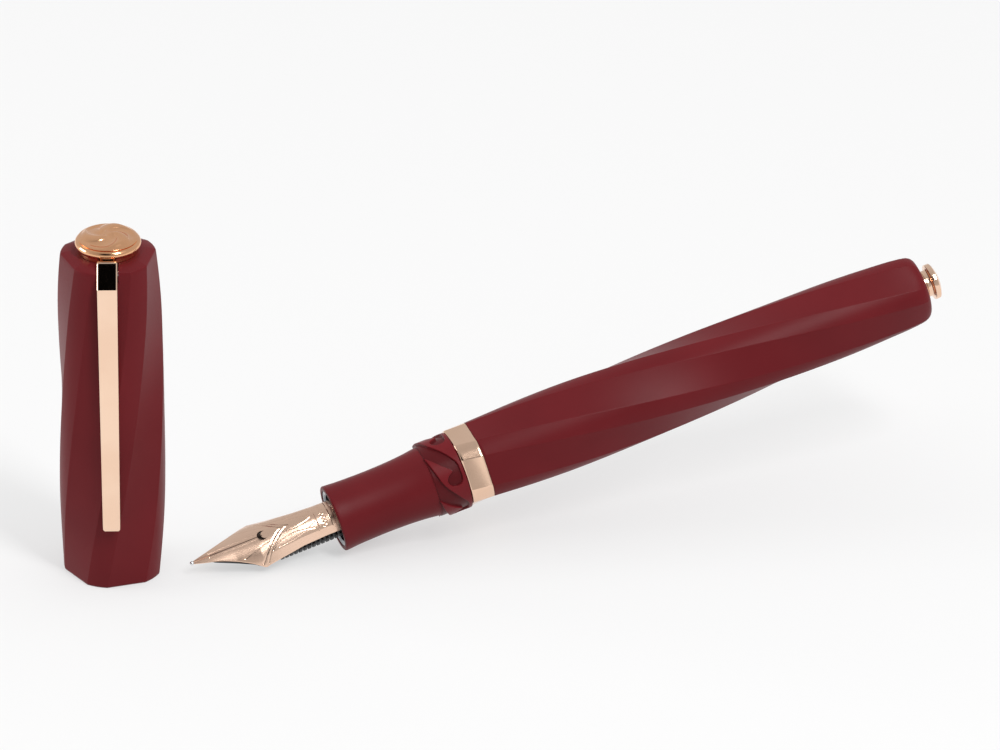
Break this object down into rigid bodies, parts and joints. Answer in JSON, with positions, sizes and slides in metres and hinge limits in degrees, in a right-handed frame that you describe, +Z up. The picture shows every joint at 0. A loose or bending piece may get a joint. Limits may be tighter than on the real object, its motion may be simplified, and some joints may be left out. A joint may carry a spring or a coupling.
{
  "type": "fountain pen",
  "caption": "Uncapped fountain pen with a twisted flat-sided barrel, plated nib and lock ring, its standing cap with sprung clip beside it.",
  "frame": {"origin": "on the ground plane, under the centre of the bounding box of the open pen and its standing cap", "axes": "+X runs level along the pen from nib to tail, +Z up, +Y to the left of the pen seen from the nib towards the tail"},
  "size_m": [0.1468, 0.0216, 0.0598],
  "materials": {
    "resin": "satin-matte moulded burgundy resin",
    "rose_gold": "polished rose-gold plating",
    "nib_gold": "bright rose-gold plated nib sheet, engraved",
    "steel": "polished steel",
    "spring_steel": "drawn spring wire",
    "brass": "turned brass",
    "feed_black": "matte black ABS",
    "cup_black": "satin black plastic",
    "rubber": "matte black elastomer",
    "clear": "clear moulded plastic",
    "magnet": "nickel-plated magnet"
  },
  "bodies": {
    "grip": {"section": "resin", "mouth_bush": "steel", "lock_ring": "resin", "thread_sleeve": "brass", "seal_ring": "rubber", "nib": "nib_gold", "nib_tip": "steel", "feed": "feed_black", "nib_housing": "feed_black"},
    "barrel": {"barrel": "resin", "barrel_liner": "brass", "trim_ring": "rose_gold", "tail_finial": "rose_gold", "tail_screw": "steel"},
    "converter": {"converter_mouth": "cup_black", "converter_tube": "clear", "converter_collar": "steel"},
    "knob": {"converter_knob": "cup_black"},
    "piston": {"piston_seal": "rubber", "piston_rod": "steel"},
    "cap": {"cap_shell": "resin", "lock_pins": "steel", "guide_sleeve": "brass", "cup_spring": "spring_steel", "clip_pin": "steel", "clip_spring": "spring_steel", "finial_bezel": "rose_gold", "finial_screw": "steel", "finial_magnet": "magnet"},
    "inner_cup": {"inner_cup": "cup_black", "cup_seal": "rubber"},
    "clip": {"clip": "rose_gold"},
    "medallion": {"finial_medallion": "rose_gold"}
  },
  "joints": [
    {"name": "barrel_pull", "type": "slide", "parent": "grip", "child": "barrel", "axis": [0.9699, 0, 0.2436], "range_m": [0, 0.08]},
    {"name": "converter_pull", "type": "slide", "parent": "grip", "child": "converter", "axis": [0.9699, 0, 0.2436], "range_m": [0, 0.012]},
    {"name": "knob_turn", "type": "hinge", "parent": "converter", "child": "knob", "pos_m": [0.04334, -0.00395, 0.02389], "axis": [0.9699, 0, 0.2436], "range_deg": [0, 1620.5]},
    {"name": "piston_slide", "type": "slide", "parent": "converter", "child": "piston", "axis": [-0.9699, 0, -0.2436], "range_m": [0, 0.018]},
    {"name": "cap_lift", "type": "slide", "parent": "grip", "child": "cap", "axis": [0, 0, 1], "range_m": [0, 0.08]},
    {"name": "cup_press", "type": "slide", "parent": "cap", "child": "inner_cup", "axis": [0, 0, 1], "range_m": [0, 0.0022], "stiffness_N_per_m": 100, "springref_m": -0.003, "deforming": ["cup_spring"]},
    {"name": "clip_spring_open", "type": "hinge", "parent": "cap", "child": "clip", "pos_m": [-0.06675, -0.00301, 0.0553], "axis": [-0.9489, 0.3156, 0], "range_deg": [0, 7], "stiffness_Nm_per_rad": 0.05, "springref_deg": -2.86, "deforming": ["clip_spring"]},
    {"name": "medallion_lift", "type": "slide", "parent": "cap", "child": "medallion", "axis": [0, 0, 1], "range_m": [0, 0.008]}
  ],
  "couplings": [
    {"joint": "knob_turn", "follows": "piston_slide", "rad_per_m": 1570.8}
  ]
}
